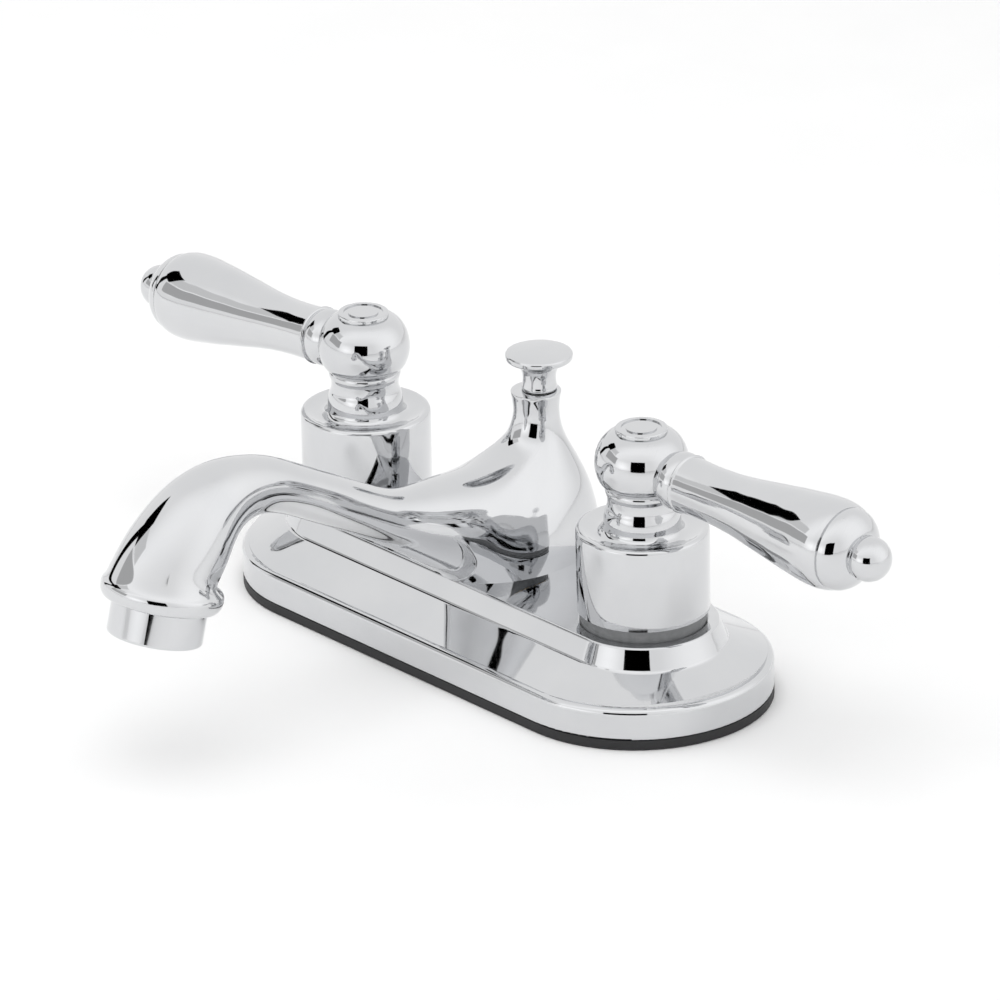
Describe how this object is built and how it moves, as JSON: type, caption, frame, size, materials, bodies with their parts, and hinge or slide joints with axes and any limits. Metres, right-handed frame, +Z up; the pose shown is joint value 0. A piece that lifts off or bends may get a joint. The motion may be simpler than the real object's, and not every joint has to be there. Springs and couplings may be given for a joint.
{
  "type": "two-handle bathroom faucet",
  "caption": "Centre-set basin faucet with a bottle-shaped swan spout, turned lever handles on quarter-turn valves, and a pop-up lift rod behind the spout.",
  "frame": {"origin": "middle of the deck plate, between the two handle axes, on the underside of the deck gasket, which is the plane of the basin deck", "axes": "+Z up out of the deck, +X through both handle axes towards the cold handle, -Y to the front, where the spout reaches"},
  "size_m": [0.2579, 0.156, 0.1478],
  "materials": {
    "chrome": "polished",
    "gasket_rubber": "satin",
    "seal_rubber": "matte",
    "brass": "satin",
    "ceramic": "gloss",
    "grey_plastic": "satin",
    "insert_plastic": "satin",
    "steel": "brushed"
  },
  "bodies": {
    "faucet": {"deck_plate": "chrome", "deck_gasket": "gasket_rubber", "valve_body": "brass", "spout": "chrome", "spout_oring": "seal_rubber", "aerator_housing": "chrome", "aerator_insert": "insert_plastic", "aerator_washer": "seal_rubber", "seat_seal_hot": "seal_rubber", "lower_disc_hot": "ceramic", "cartridge_hot": "brass", "seat_ring_hot": "grey_plastic", "lock_washer_hot": "steel", "lock_nut_hot": "brass", "seat_seal_cold": "seal_rubber", "lower_disc_cold": "ceramic", "cartridge_cold": "brass", "seat_ring_cold": "grey_plastic", "lock_washer_cold": "steel", "lock_nut_cold": "brass"},
    "hot_handle": {"upper_disc_hot": "ceramic", "stem_hot": "brass", "handle_hub_hot": "chrome", "handle_screw_hot": "steel", "index_cap_hot": "chrome", "lever_hot": "chrome", "lever_tip_hot": "chrome"},
    "cold_handle": {"upper_disc_cold": "ceramic", "stem_cold": "brass", "handle_hub_cold": "chrome", "handle_screw_cold": "steel", "index_cap_cold": "chrome", "lever_cold": "chrome", "lever_tip_cold": "chrome"},
    "lift": {"lift_knob": "chrome", "lift_rod": "chrome"}
  },
  "joints": [
    {"name": "hot_handle_turn", "type": "hinge", "parent": "faucet", "child": "hot_handle", "pos_m": [-0.0508, 0, 0.034], "axis": [0, 0, 1], "range_deg": [0, 90]},
    {"name": "cold_handle_turn", "type": "hinge", "parent": "faucet", "child": "cold_handle", "pos_m": [0.0508, 0, 0.034], "axis": [0, 0, 1], "range_deg": [-90, 0]},
    {"name": "lift_rod_slide", "type": "slide", "parent": "faucet", "child": "lift", "axis": [0, 0, 1], "range_m": [0, 0.028]}
  ]
}
